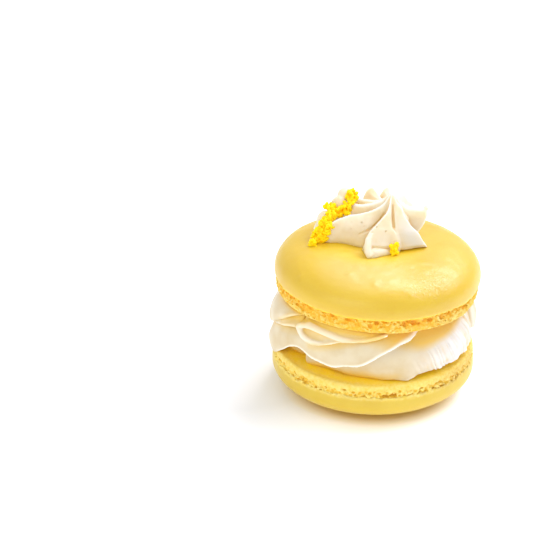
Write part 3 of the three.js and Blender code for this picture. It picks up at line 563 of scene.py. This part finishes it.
def make_piece(name, parts, values):
    """One mesh object from parts of (points in mm, arrays of faces), with values per point."""
    points = np.concatenate([part_points for part_points, _ in parts])
    corners, sizes = [], []
    first = 0
    for part_points, part_faces in parts:
        for faces in part_faces:
            corners.append((faces + first).ravel())
            sizes.append(np.full(len(faces), faces.shape[1]))
        first += len(part_points)
    corners, sizes = np.concatenate(corners), np.concatenate(sizes)
    mesh = bpy.data.meshes.new(name)
    mesh.vertices.add(len(points))
    mesh.vertices.foreach_set("co", (points * MM).astype(np.float32).ravel())
    mesh.loops.add(len(corners))
    mesh.loops.foreach_set("vertex_index", corners.astype(np.int32))
    mesh.polygons.add(len(sizes))
    mesh.polygons.foreach_set("loop_start", (np.cumsum(sizes) - sizes).astype(np.int32))
    mesh.polygons.foreach_set("loop_total", sizes.astype(np.int32))
    mesh.update(calc_edges=True)
    mesh.shade_smooth()
    for key, numbers in values.items():
        layer = mesh.attributes.new(key, "FLOAT", "POINT")
        layer.data.foreach_set("value", numbers.astype(np.float32))
    piece = add_object(name, mesh)
    thin_out(piece, (sizes - 2).sum())
    return piece


def thin_out(piece, triangles):
    """Merges the flattest faces of a piece that has more triangles than the export keeps."""
    if triangles <= MOST_TRIANGLES:
        return
    thinner = piece.modifiers.new("thin_out", "DECIMATE")
    thinner.ratio = MOST_TRIANGLES / triangles
    graph = bpy.context.evaluated_depsgraph_get()
    mesh = bpy.data.meshes.new_from_object(
        piece.evaluated_get(graph), preserve_all_data_layers=True, depsgraph=graph)
    piece.modifiers.clear()
    piece.data = mesh


# ---------------- shells

def rounded_outline(radius, depth, across, along):
    """A quarter of a rounded outline, from the axis to its widest point."""
    turn = np.linspace(0, math.pi / 2, TABLE_SIZE)
    return np.stack([radius * np.sin(turn) ** (2 / across), depth * np.cos(turn) ** (2 / along)], 1)


def resample(outline):
    """The same outline with points at even distances."""
    along = np.concatenate([[0], np.cumsum(np.hypot(*np.diff(outline, axis=0).T))])
    at = np.linspace(0, along[-1], int(along[-1] / SHELL_SPACING) + 2)
    return np.stack([np.interp(at, along, outline[:, k]) for k in (0, 1)], 1)


def turned(outline):
    """A closed surface from an outline that starts and ends on the axis."""
    rings = len(outline) - 2
    turn = np.tile(np.arange(SHELL_ROUND) * 2 * math.pi / SHELL_ROUND, rings)
    radius, height = np.repeat(outline[1:-1], SHELL_ROUND, axis=0).T
    points = np.stack([radius * np.cos(turn), radius * np.sin(turn), height], 1)
    ends = [[0, 0, outline[0, 1]], [0, 0, outline[-1, 1]]]
    return np.concatenate([points, ends]), tube_faces(rings, SHELL_ROUND)


def point_noise(points, size, seed):
    """Smooth random values of about -1 to 1 at points, over features of about that size."""
    table = np.random.default_rng(seed).uniform(-1.4, 1.4, [NOISE_SIZE] * 3)
    table = np.pad(table, (0, 1), mode="wrap")
    at = points / size
    cell = np.floor(at).astype(int)
    part = at - cell
    return from_corners(table, cell % NOISE_SIZE, part * part * (3 - 2 * part))


def axis_distance(points):
    return np.hypot(points[:, 0], points[:, 1])


def push(points, amount):
    """Moves points straight away from the axis."""
    step = amount / np.maximum(axis_distance(points), 1e-6)
    return points + points * (1, 1, 0) * step[:, None]


def lean(points):
    """From the top shell's own frame to the macaron's."""
    cos, sin = math.cos(T_LEAN), math.sin(T_LEAN)
    x, y, z = points.T
    return np.stack([x * cos + z * sin + T_SHIFT, y, z * cos - x * sin + T_BASE], 1)


def crumb_ring(inner, outline, seed):
    """A baked ring between an inner radius and an outline with bubbly relief."""
    heights, radii, relief = np.array(outline, float).T
    reach = radii.max() + 1
    low, high = heights[[0, -1]]
    room = 4 * FOOT_STEP
    block = Block((-reach, -reach, low - room), (reach, reach, high + room), FOOT_STEP)
    outer = np.interp(block.z, heights, radii).astype(np.float32) + 0.1 * block.noise(4.0, seed)
    depth = np.interp(block.z, heights, relief).astype(np.float32)
    big = np.minimum(np.abs(block.noise(1.0, seed + 1)), 0.5)
    small = np.minimum(np.abs(block.noise(0.55, seed + 2)), 0.5)
    side = block.radius - outer + depth * (0.8 * (0.42 - big) + 0.5 * (0.42 - small))
    level = np.maximum(block.z - high, low - block.z) + 0.07 * block.noise(1.8, seed + 3)
    level = level + 0.08 * (0.4 - small)
    block.value = smooth_max(smooth_max(side, level, 0.25), inner - block.radius, 0.3)
    return block


def face_radius(outline, z):
    """Radius of a ring's outer face at a height."""
    heights, radii, _ = np.array(outline, float).T
    return np.interp(z, heights, radii)


def scatter(random, outline, count, heights, sizes, angles):
    """Random spots on a ring's outer face: direction, height, size, and the face's radius."""
    for _ in range(count):
        turn = math.radians(random.uniform(*angles))
        z = random.uniform(*heights)
        size = random.uniform(*sizes)
        yield np.array([math.cos(turn), math.sin(turn)]), z, size, face_radius(outline, z)


def pores(block, outline, count, heights, sizes, seed, angles=(-180, 180), depth=0.4):
    """Hollows bubbles out of a ring's outer face."""
    random = np.random.default_rng(seed)
    for out, z, size, face in scatter(random, outline, count, heights, sizes, angles):
        x, y = (face - size * random.uniform(depth - 0.35, depth + 0.35)) * out
        squash = (random.uniform(0.8, 1.4), random.uniform(0.8, 1.4), random.uniform(0.6, 1.1))
        block.ball((x, y, z), size, 0.08, True, squash)


def flakes(block, outline, count, heights, sizes, seed):
    """Adds small torn crumbs that stand a little proud of a ring's outer face."""
    random = np.random.default_rng(seed)
    for out, z, size, face in scatter(random, outline, count, heights, sizes, (-180, 180)):
        x, y = (face - 0.6 * size) * out
        squash = (random.uniform(0.8, 1.6), random.uniform(0.8, 1.6), random.uniform(0.5, 0.9))
        block.ball((x, y, z), size, 0.06, False, squash)


def pit_depth(points, outline):
    """How far points lie inside a ring's outline."""
    return unit(face_radius(outline, points[:, 2]) - axis_distance(points))


def shell_piece(name, smooth, smooth_foot, ring):
    """One shell from its smooth dome, with how far each point is foot, and its baked ring."""
    (dome_points, dome_faces), (ring_points, ring_quads, depth, flat) = smooth, ring
    return make_piece(
        name, [(dome_points, dome_faces), (ring_points, [ring_quads])],
        {"pit": np.concatenate([np.zeros(len(dome_points)), depth]),
         "foot": np.concatenate([smooth_foot, np.ones(len(ring_points))]),
         "flat": np.concatenate([(dome_points[:, 2] > GOLD_AND_GLOW_ABOVE) * smooth_foot, flat])})


def top_shell():
    ring = crumb_ring(T_INNER, T_RING, 11)
    pores(ring, T_RING, 210, (1.9, 3.4), (0.28, 0.55), 12)
    pores(ring, T_RING, 5, (2.2, 2.9), (0.45, 0.6), 15, angles=(-78, -60), depth=0.5)
    pores(ring, T_RING, 900, (0.5, 3.6), (0.16, 0.28), 14)
    ring_points, ring_quads = ring.skin()
    depth = pit_depth(ring_points, T_RING)

    dome = rounded_outline(T_RADIUS, T_APEX - T_WIDEST, T_ACROSS, T_ALONG)[::-1]
    edge = [[0, 0.15], [21.4, 0.15], [21.4, T_FOOT + 0.1], [23.9, T_FOOT + 0.1],
            [24.3, T_FOOT - 0.12], [24.65, T_FOOT - 0.1], [24.85, T_FOOT + 0.12]]
    outline = resample(np.concatenate([edge, dome + [0, T_WIDEST]]))
    outline[-1, 0] = 0
    points, faces = turned(outline)
    up = unit((points[:, 2] - T_WIDEST) / (T_APEX - T_WIDEST))
    near_edge = unit(1 - (points[:, 2] - T_FOOT) / 0.9)
    points = push(points, 0.10 * point_noise(points, 7.0, 21) * (1 - up)
                  + 0.10 * point_noise(points, 0.8, 22) * near_edge)
    for x, y, height, size in BUMPS:
        away = (points[:, 0] - x) ** 2 + (points[:, 1] - y) ** 2
        points[:, 2] += height * np.exp(-away / size ** 2) * (up > 0)
    points[:, 2] += (0.10 * point_noise(points, 6.0, 23) * up
                     + 0.05 * point_noise(points * (1, 1, 3), 1.8, 24) * up
                     + 0.16 * point_noise(points, 1.1, 25) * near_edge)
    return shell_piece("top_shell_baked", (lean(points), faces), near_edge ** 2,
                       (lean(ring_points), ring_quads, depth, np.zeros(len(ring_points))))


def bottom_shell():
    ring = crumb_ring(B_INNER, B_RING, 31)
    flakes(ring, B_RING, 420, (B_CRACK - 0.2, B_CRACK + 1.3), (0.22, 0.5), 37)
    pores(ring, B_RING, 560, (B_CRACK - 0.1, B_CRACK + 1.5), (0.16, 0.42), 32)
    for crack in CRACKS:
        path = [(turn, CRACK_OUT, z, CRACK_SIZE) for turn, z in crack]
        ring.strand(round_path(path), 0.12, hollow=True)
    pores(ring, B_RING, 240, (9.8, 12.2), (0.15, 0.2), 34, depth=0.0)
    pores(ring, B_RING, 16, (B_CRACK - 0.1, B_CRACK + 0.6), (0.4, 0.6), 35,
          angles=(-87.5, -79.5), depth=0.6)
    for turn in PORES_AT:
        pores(ring, B_RING, 3, (B_CRACK, B_CRACK + 0.4), (0.3, 0.45), 36 + turn % 50,
              angles=(turn - 1.5, turn + 1.5), depth=0.5)
    ring_points, ring_quads = ring.skin()
    inside = unit((FOOT_OUT - axis_distance(ring_points)) / 2.2)
    on_top = ring_points[:, 2] > B_RIM - 0.5
    depth = np.where(on_top, 0.02, 0.7 * pit_depth(ring_points, B_RING))

    dome = rounded_outline(B_RADIUS, B_WIDEST, B_ROUND, B_ROUND)
    dome[:, 1] = np.maximum(B_WIDEST - dome[:, 1] - B_FLAT, 0) * B_WIDEST / (B_WIDEST - B_FLAT)
    edge = [[24.72, B_EDGE], [24.6, 8.9], [24.45, B_CRACK - 0.1], [24.15, B_CRACK - 0.05],
            [23.8, 8.9], [18.0, 8.9], [18.0, B_RIM - 0.15], [0, B_RIM - 0.15]]
    outline = resample(np.concatenate([dome, edge]))
    outline[0, 0] = 0
    points, faces = turned(outline)
    near_edge = unit((points[:, 2] - B_EDGE) / 0.8)
    points = push(points, 0.08 * point_noise(points, 6.0, 41)
                  + 0.14 * point_noise(points, 0.8, 42) * near_edge)
    points[:, 2] += 0.28 * point_noise(points, 1.0, 43) * near_edge
    return shell_piece("bottom_shell_baked", (points, faces), near_edge ** 2,
                       (ring_points, ring_quads, depth, on_top * inside))


# ---------------- cream

def foot_underside(x):
    """Height of the top shell's underside."""
    return T_BASE - T_LEAN * (x - T_SHIFT)


def bottom_shell_radius(z):
    return np.interp(z, [8.0, 9.3, 10.0, 11.5, B_RIM], [24.7, 24.45, 24.6, 24.5, 24.1])


def fold_field(block, droop, end_soft, stations):
    """Distances to one fold of cream, from the angle round the macaron."""
    start, end = stations[0][0], stations[-1][0]
    middle = (start + end) / 2
    angle = middle + (block.angle - middle + 180) % 360 - 180
    table_at = np.linspace(start, end, TABLE_SIZE)
    table = between(stations, table_at)
    lip_r, lip_z, top_r, top_z, belly, flare = [
        np.interp(angle, table_at, table[:, k]).astype(np.float32) for k in range(1, 7)]
    rise = block.z - lip_z
    up = unit(rise / (top_z - lip_z))
    face = lip_r + (top_r - lip_r) * up + belly * np.sin(math.pi * up ** 0.85)
    face = block.radius - face + flare * (1 - np.exp(-np.clip(rise, 0, 9) / 0.8))
    under = droop * np.clip((lip_r - block.radius) / LIP_BACK, 0, 1.5) - rise
    ends = np.maximum(start - angle, angle - end) * block.radius * np.float32(math.pi / 180)
    fold = smooth_max(0.85 * face, 0.9 * under, LIP)
    fold = smooth_max(fold, block.z - top_z, 0.6)
    return smooth_max(fold, ends, end_soft)


def round_path(rows):
    """Points (x, y, z, radius) from rows of (angle, distance from the axis, height, radius)."""
    turn, away, z, radius = np.array(rows, float).T
    turn = np.radians(turn)
    return np.stack([away * np.cos(turn), away * np.sin(turn), z, radius], 1)


def streaks(block):
    """Ragged torn lines that run up from the lip on the front right."""
    random = np.random.default_rng(53)
    at = np.cumsum(random.uniform(0.4, 1.3, 170)) - 90
    slanted = block.angle + 1.4 * (block.z - 13) + 1.2 * block.noise(4.0, 54)
    lines = np.interp(slanted, at, random.uniform(-1, 1, len(at)))
    where = unit((block.angle - STREAKS_FROM) / 18) * unit((FRONT_RIGHT - block.angle) / 12)
    fade = unit((28.0 + 0.12 * block.angle - block.z) / 3)
    fade = fade * np.clip((block.z - 12.2) / 3, 0.3, 1)
    fade = fade * unit(0.8 + 0.5 * block.noise(2.2, 55))
    ragged = 0.07 * block.noise(0.8, 56) * unit((21 - block.z) / 4)
    return ((0.3 * lines * fade + ragged) * where).astype(np.float32)


def filling():
    block = Block(*CREAM_BOX, CREAM_STEP)
    underside = foot_underside(block.x)
    core = np.maximum(block.radius - CORE_RADIUS, np.maximum(B_RIM - block.z, block.z - underside))
    block.value = core + 0 * block.z
    wobble = 0.14 * block.noise(5.0, 51) + 0.08 * block.noise(1.9, 52)
    torn = streaks(block)
    low_wobble = wobble + torn
    for name, shape in FOLDS.items():
        fold = fold_field(block, *shape) + (low_wobble if name == "low_front" else wobble)
        block.put(fold, 0.14, False)
    for path in ROLLS.values():
        block.strand(round_path(path), 0.6)
    for path in CREASES.values():
        block.strand(round_path(path), 0.45, hollow=True)
    shell = np.maximum(block.z - B_RIM, block.radius - bottom_shell_radius(block.z))
    block.put(shell, 0.1, True)
    block.value = smooth_max(block.value, block.z - underside - 0.1, 0.2)
    points, quads = block.skin()
    shells = np.minimum(shell, np.maximum(underside - block.z, block.radius - FOOT_OUT))
    shades = filling_shades(block, shells, block.sample(torn, points), points)
    return make_piece("cream_filling", [(points, [quads])], shades)


def filling_shades(block, shells, torn, points):
    """Painted shade and highlight of the cream between the shells: highlight on edges, rolled rims and torn
    ridges, golden shade in hollows, creases, torn grooves and under the top shell's foot.
    """
    shades = cream_shades(block, shells, points)
    # Painted highlight on the rolled rims of the spoon.
    on_rim = block.closeness([ROLLS["spoon_top"], ROLLS["spoon_low"]], 0.1, 0.3, points)
    edge = np.maximum(shades["edge"], 0.55 * on_rim)
    angle = np.degrees(np.arctan2(points[:, 1], points[:, 0]))
    reach, strength = [np.interp(angle, UNDER_FOOT[0], row) for row in UNDER_FOOT[1:]]
    below = foot_underside(points[:, 0]) - points[:, 2]
    # Painted golden shade below the top shell's foot, strongest at the front.
    under_foot = unit(strength * (1 - below / reach)) * (1 - edge)
    in_crease = block.closeness(CREASES.values(), 0.5, 1.2, points)
    front = unit((angle - FRONT_LEFT) / 8) * unit((FRONT_RIGHT - angle) / 15)
    # Painted golden shade in creases and torn grooves, and painted highlight on torn ridges.
    hollow = (shades["hollow"] + under_foot * (0.15 + 0.8 * front) + unit(torn)
              + 0.5 * in_crease)
    edge = edge - 2 * np.clip(torn, -1, 0)
    return {"hollow": unit(hollow), "edge": unit(edge)}


def cream_shades(block, neighbours, points):
    """How deep points lie in hollows, and how far out on edges, both from 0 to 1; the material paints golden
    shade into the hollows and a highlight onto the edges.
    """
    tiny, fine, near, wide = [
        block.crowding(neighbours, points, reach) for reach in (0.3, 0.7, 1.3, 4.5)]
    hollow = 1.2 * np.maximum(tiny - 0.62, 0) + 2.2 * (near - 0.5) + 3.6 * (wide - 0.48)
    edge = 3 * (0.41 - fine) + 3 * (0.42 - near)
    return {"hollow": unit(hollow), "edge": unit(edge)}


def dome_height(x, y):
    """Height of the top shell's dome."""
    across = unit(np.hypot(x - T_SHIFT, y) / T_RADIUS)
    rise = (T_APEX - T_WIDEST) * (1 - across ** T_ACROSS) ** (1 / T_ALONG)
    return T_BASE + T_WIDEST + rise - T_LEAN * (x - T_SHIFT)


def rosette_block():
    block = Block(*ROSETTE_BOX, ROSETTE_STEP)
    away = np.hypot(block.x - PEAK[0], block.y - PEAK[1])
    cone_radius = np.interp(block.z, *PEAK_CONE)
    block.value = 0.8 * (away - cone_radius.astype(np.float32))
    for swell, sections in ARMS.values():
        sections = [[(*knot, ARM_FOOT)[:3] for knot in section] for section in sections]
        if sections[0][1][2] > PEAK_ARM:
            sections.insert(0, beside_peak(sections[0]))
        block.loft(sections, swell, 0.2)
    for *centre, radius in LOBES:
        block.ball(centre, radius, 0.7, False)
    for path, soft in ((FRONT_RIM, 0.3), (FRONT_VALLEY, 0.4), (BEHIND_SLOT, 0.2)):
        block.strand(path, soft)
    for name, path in GROOVES.items():
        block.strand(path, 0.4 if name == "left_valley" else 0.12, hollow=True)
    random = np.random.default_rng(63)
    for *centre, radius in BUBBLES:
        for _ in range(4):
            away = random.uniform(-0.9, 0.9, 3) * radius * (1, 0.5, 1)
            block.ball(centre + away, radius * random.uniform(0.4, 0.8), 0.06, True)
    block.value = block.value + 0.06 * block.noise(2.6, 61) + 0.035 * block.noise(1.0, 62)
    block.value = smooth_max(block.value, block.z - PEAK[2], 0.2)
    dome = dome_height(block.x, block.y)
    block.value = smooth_max(block.value, dome - 0.1 - block.z, 0.25)
    return block


def beside_peak(section):
    """The section at the peak itself of an arm whose first section is given."""
    crest = section[1]
    knots = [(PEAK[0], PEAK[1], PEAK[2] - 0.1)] * len(section)
    for end in (0, -1):
        x, y, z = section[end]
        knots[end] = (PEAK[0] + 0.5 * (x - crest[0]), PEAK[1] + 0.5 * (y - crest[1]), z)
    return knots


def somewhere_near(random, near, far):
    """A random offset in any direction, with its length between two."""
    offset = random.normal(size=3)
    return offset * (random.uniform(near, far) / np.linalg.norm(offset))


def cake_crumbs():
    """Grains of cake, heaped on the cream and on the dome beside it."""
    block = Block(*CRUMB_BOX, CRUMB_STEP)
    random = np.random.default_rng(6)
    for *centre, spread in CRUMB_HEAPS:
        block.ball(centre, 0.6 * spread, 0.05, False)
        for _ in range(int(12 * spread ** 2) + 5):
            lump = centre + somewhere_near(random, 0.3 * spread, 1.02 * spread)
            reach = random.uniform(0.28, 0.6)
            for _ in range(12):
                grain = lump + somewhere_near(random, 0.3 * reach, reach)
                size = random.uniform(0.14, 0.26)
                block.ball(grain, size, 0.08, False, random.uniform(0.7, 1.5, 3))
    block.value = block.value + 0.05 * block.noise(0.4, 71)
    points, quads = block.skin()
    # How crowded each point is, for painted orange shade between grains.
    tiny, near = [block.crowding(np.float32(FAR), points, reach) for reach in (0.3, 0.9)]
    hollow = unit(2.5 * (tiny - 0.45) + 2.5 * (near - 0.45))
    return make_piece("cake_crumbs", [(points, [quads])], {"hollow": hollow})


def rosette_cream(block):
    points, quads = block.skin()
    dome = 0.9 * (block.z - dome_height(block.x, block.y))
    shades = cream_shades(block, dome, points)
    # Half as much painted golden shade in the rosette's hollows.
    shades["hollow"] *= 0.5
    return make_piece("rosette_cream", [(points, [quads])], shades)


# ---------------- materials

def srgb(red, green, blue):
    """A linear colour from 0-255 screen values."""
    values = [((v / 255 + 0.055) / 1.055) ** 2.4 if v > 10 else v / 3294.6
              for v in (red, green, blue)]
    return (*values, 1)


class Surface:
    """A node material put together round one Principled shader; inputs are values or links."""

    def __init__(self, name, gain=(1, 1, 1)):
        self.material = bpy.data.materials.new(name)
        self.material.use_nodes = True
        self.tree = self.material.node_tree
        self.shader = self.tree.nodes["Principled BSDF"]
        self.gain = gain
        self.place = self.node("TexCoord", "Object")

    def tone(self, *colour):
        """A screen colour with this surface's gain in red, green and blue."""
        return tuple(v * g for v, g in zip(srgb(*colour), self.gain)) + (1,)

    def feed(self, inputs, values):
        for key, value in values.items():
            if isinstance(value, bpy.types.NodeSocket):
                self.tree.links.new(value, inputs[key])
            else:
                inputs[key].default_value = value

    def node(self, kind, output, values=None, **settings):
        """Adds a node with values or links at its inputs, and returns one of its outputs."""
        node = self.tree.nodes.new("ShaderNode" + kind)
        for key, value in settings.items():
            setattr(node, key, value)
        self.feed(node.inputs, values or {})
        return node.outputs[output]

    def set(self, **values):
        self.feed(self.shader.inputs, {key.replace("_", " "): v for key, v in values.items()})

    def noise(self, size, detail=3, roughness=0.5, distortion=0):
        """Noise with features of about that size in millimetres."""
        return self.node("TexNoise", "Fac", {
            "Vector": self.place, "Scale": 1 / (size * MM), "Detail": detail,
            "Roughness": roughness, "Distortion": distortion})

    def distance(self, centre):
        """Distance from a point given in millimetres."""
        centre = [v * MM for v in centre]
        return self.node("VectorMath", "Value", {0: self.place, 1: centre}, operation="DISTANCE")

    def attribute(self, name):
        return self.node("Attribute", "Fac", attribute_name=name)

    def ranged(self, source, low, high, to_low=0, to_high=1):
        return self.node("MapRange", "Result", {
            "Value": source, "From Min": low, "From Max": high,
            "To Min": to_low, "To Max": to_high})

    def faded(self, centre, near, far, to_near=1, to_far=0):
        """One value up to near millimetres from a point, and another from far on."""
        return self.ranged(self.distance(centre), near * MM, far * MM, to_near, to_far)

    def mix(self, factor, first, second):
        return self.node("Mix", 2, {0: factor, 6: first, 7: second}, data_type="RGBA")

    def sum(self, first, second, factor):
        """first + factor * second."""
        return self.node("Math", 0, {0: second, 1: factor, 2: first}, operation="MULTIPLY_ADD")

    def times(self, first, second):
        return self.node("Math", 0, {0: first, 1: second}, operation="MULTIPLY")

    def bump(self, height, depth, strength):
        """Small relief, that many millimetres deep."""
        values = {"Distance": depth * MM, "Strength": strength, "Height": height}
        self.set(Normal=self.node("Bump", "Normal", values))


def shell_material(name, gain, crumb):
    """Baked almond shell, from its skin's gain and its crumb's colours."""
    s = Surface(name, gain)
    skin = s.mix(s.ranged(s.noise(9, 4), 0.35, 0.65), s.tone(233, 194, 24), s.tone(238, 202, 40))
    skin = s.mix(s.ranged(s.noise(0.7, 2), 0.55, 0.8, 0, 0.35), skin, s.tone(234, 186, 22))
    # Painted sheen at the front of the dome, and painted golden shade round the rosette where its shadow
    # falls.
    for *painted_patch, colour in (PAINTED_SHEEN_PATCH, ROSETTE_SHADE_PATCH):
        skin = s.mix(s.faded(*painted_patch), skin, s.tone(*colour))
    dry, pale, sunk, deep = [srgb(*colour) for colour in crumb]
    mottled = s.ranged(s.noise(0.8, 4, 0.6), 0.35, 0.68)
    # Painted shade on the lower foot's rim at the right, below the cream.
    rim_shade = s.mix(mottled, *[srgb(*colour) for colour in RIM_SHADE_COLOURS])
    porous = s.mix(s.faded(*RIM_SHADE_PATCH), s.mix(mottled, dry, pale), rim_shade)
    pit = s.attribute("pit")
    # Darker in the pores the deeper they go: partly the crumb's own colour, partly painted shade.
    pore_colour_and_shade = s.mix(s.ranged(pit, 0.02, 0.3), porous, sunk)
    pore_colour_and_shade = s.mix(s.ranged(pit, 0.3, 0.7), pore_colour_and_shade, deep)
    flat = s.attribute("flat")
    # The flat top of the lower foot: saturated gold, partly its own colour and partly painted shade from the
    # cream above.
    top_gold_and_shade = s.times(flat, s.ranged(s.noise(2.5, 3), 0.3, 0.6, 0.55, 1))
    baked = s.mix(top_gold_and_shade, pore_colour_and_shade, srgb(255, 216, 12))
    foot = s.attribute("foot")
    wrinkled = s.faded(WRINKLES_AT, 1.5, 8, 1.9, 0.35)
    polish = s.faded(WRINKLES_AT, 3, 14, 0.75, 1)
    dull = s.ranged(s.sum(foot, s.noise(2), 0.4), 0, 1.4, 0.33, 0.85)
    s.set(Base_Color=s.mix(foot, skin, baked), Roughness=s.times(dull, polish),
          # A faint painted glow on the flat top stands in for light carried into the cream's shade.
          Emission_Strength=s.ranged(flat, 0, 1, 0, 0.09), Emission_Color=srgb(255, 206, 40),
          Subsurface_Weight=0.3, Subsurface_Scale=0.8 * MM, Subsurface_Radius=(1, 0.95, 0.6),
          Specular_IOR_Level=0.75, Sheen_Weight=0.05, Sheen_Roughness=0.4)
    fine = s.times(s.noise(0.25, 3), s.ranged(foot, 0, 1, 0.15, 1))
    s.bump(s.sum(fine, s.times(s.noise(1.05, 4, 0.6, 1.6), wrinkled), 0.8), 0.2, 0.7)
    return s.material


def cream_material(name, gain, spread, painted_patch):
    """Whipped cream: its gain, how far light travels in it, mm, and a patch of painted light or shade."""
    s = Surface(name, gain)
    clean = s.mix(s.ranged(s.noise(6, 3), 0.35, 0.65), s.tone(211, 189, 144), s.tone(220, 205, 172))
    # The patch paints light or shade into the cream's colour.
    *place, colour = painted_patch
    clean = s.mix(s.faded(*place), clean, srgb(*colour))
    # Painted highlight on edges and rims, and painted golden shade in hollows.
    pale = s.mix(s.attribute("edge"), clean, srgb(246, 238, 222))
    s.set(Base_Color=s.mix(s.attribute("hollow"), pale, srgb(229, 191, 84)),
          Roughness=s.ranged(s.noise(1.5, 3), 0.3, 0.7, 0.38, 0.55), Specular_IOR_Level=0.4,
          Subsurface_Weight=0.6, Subsurface_Scale=spread * MM, Subsurface_Radius=(1, 0.9, 0.75))
    s.bump(s.sum(s.noise(0.9, 3, 0.5), s.noise(0.3, 2), 0.35), 0.08, 0.6)
    return s.material


def crumb_material():
    s = Surface("cake_crumb")
    grain = s.mix(s.ranged(s.noise(0.8, 3), 0.35, 0.65), srgb(255, 210, 4), srgb(255, 217, 14))
    # Painted orange shade where grains crowd.
    s.set(Base_Color=s.mix(s.attribute("hollow"), grain, srgb(255, 192, 2)),
          Roughness=s.ranged(s.noise(0.5, 2), 0.3, 0.7, 0.5, 0.8), Specular_IOR_Level=0.2,
          # A faint painted glow stands in for light passing through the crumbs.
          Emission_Strength=0.1, Emission_Color=srgb(255, 190, 0),
          Subsurface_Weight=0.6, Subsurface_Scale=1.5 * MM, Subsurface_Radius=(1, 0.9, 0.3))
    s.bump(s.noise(0.2, 2), 0.05, 0.6)
    return s.material


def floor_material():
    """A pale table that glows; its glow is held back under the macaron and round SHADE_AT, which paints
    shadow there, and near the macaron it takes a painted golden shadow tint.
    """
    s = Surface("table_top")
    paper = s.mix(s.noise(60, 2), srgb(250, 249, 247), srgb(252, 252, 251))
    painted_shadow = s.faded((0, 0, 0), SHADOW_TINT_FROM, SHADOW_TINT_TO, 0, 1)
    glow = s.faded((0, 0, 0), GLOW_FROM, GLOW_FULL, 0, GLOW)
    lit = s.faded(SHADE_AT, SHADE_NEAR, SHADE_FAR, 0, 1)
    s.set(Base_Color=s.mix(painted_shadow, srgb(*CONTACT_SHADOW_TINT), paper),
          Roughness=s.ranged(s.noise(40, 2), 0.3, 0.7, 0.75, 0.85),
          Emission_Strength=s.times(glow, lit), Emission_Color=(1, 1, 1, 1))
    return s.material


def dress(piece, material, slot, *nodes):
    """Gives a piece its finish and its place in the frame."""
    piece.data.materials.append(material)
    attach(piece, "root")
    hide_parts(*nodes)


# ---------------- stage, light, camera

def floor():
    side = 3000 * MM
    mesh = bpy.data.meshes.new("table_top")
    corners = [(-side, -side, 0), (side, -side, 0), (side, side, 0), (-side, side, 0)]
    mesh.from_pydata(corners, [], [(0, 1, 2, 3)])
    mesh.materials.append(floor_material())
    table = add_object("table_top", mesh)


def area_light(name, place, size, power, colour):
    """A square lamp that looks at the middle of the macaron."""
    data = bpy.data.lights.new(name, "AREA")
    data.size = size * MM
    data.energy = power
    data.color = colour
    lamp = add_object(name, data)
    lamp.location = [v * MM for v in place]
    aim = Vector((0, 0, 20 * MM)) - lamp.location
    lamp.rotation_euler = aim.to_track_quat("-Z", "Y").to_euler()


def lights():
    world = bpy.data.worlds.new("studio")
    world.use_nodes = True
    sky = world.node_tree.nodes["Background"].inputs
    sky["Color"].default_value = (0.96, 1, 1.1, 1)
    sky["Strength"].default_value = 0.82
    bpy.context.scene.world = world
    area_light("key", (443, 78, 536), 300, 1.5, (0.89, 0.98, 1.33))
    area_light("sheen", (250, 340, 580), 360, 2.8, (1, 1, 1.15))
    area_light("front", (-380, -540, 430), 500, 1.5, (1.02, 1, 0.8))


def camera():
    data = bpy.data.cameras.new("camera")
    data.lens = CAMERA_LENS
    data.sensor_width = CAMERA_SENSOR
    data.clip_start = 0.01
    holder = add_object("camera", data)
    holder.location = [v * MM for v in CAMERA_PLACE]
    holder.rotation_euler = (math.radians(90 - CAMERA_DOWN), 0, 0)
    bpy.context.scene.camera = holder
    bpy.context.scene.view_settings.view_transform = "Standard"


# ---------------- the whole

camera()
lights()
floor()

# The two shells share one crust; their gains differ, partly their own tone and partly painted light standing
# in for the different light on the upper and lower shell.
top_crust = shell_material("baked_shell_top", (0.82, 0.78, 0.7), TOP_CRUMB)
bottom_crust = shell_material("baked_shell_bottom", (0.81, 0.81, 0.88), BOTTOM_CRUMB)
# Painted light on the cream at the front right, where the key lamp falls.
cream = cream_material("whipped_cream", (1, 1, 1), 0.9, LIT_CREAM_PATCH)
# Painted shade on the rosette's right.
piped = cream_material("piped_cream", (1.16, 1.19, 1.3), 3.2, ROSETTE_RIGHT_SHADE_PATCH)
dress(bottom_shell(), bottom_crust, "shell", "bottom_shell")
dress(top_shell(), top_crust, "shell", "top_shell")
dress(filling(), cream, "cream", "filling")
rosette = rosette_block()
dress(cake_crumbs(), crumb_material(), "crumb", "rosette")
dress(rosette_cream(rosette), piped, "cream", "rosette")
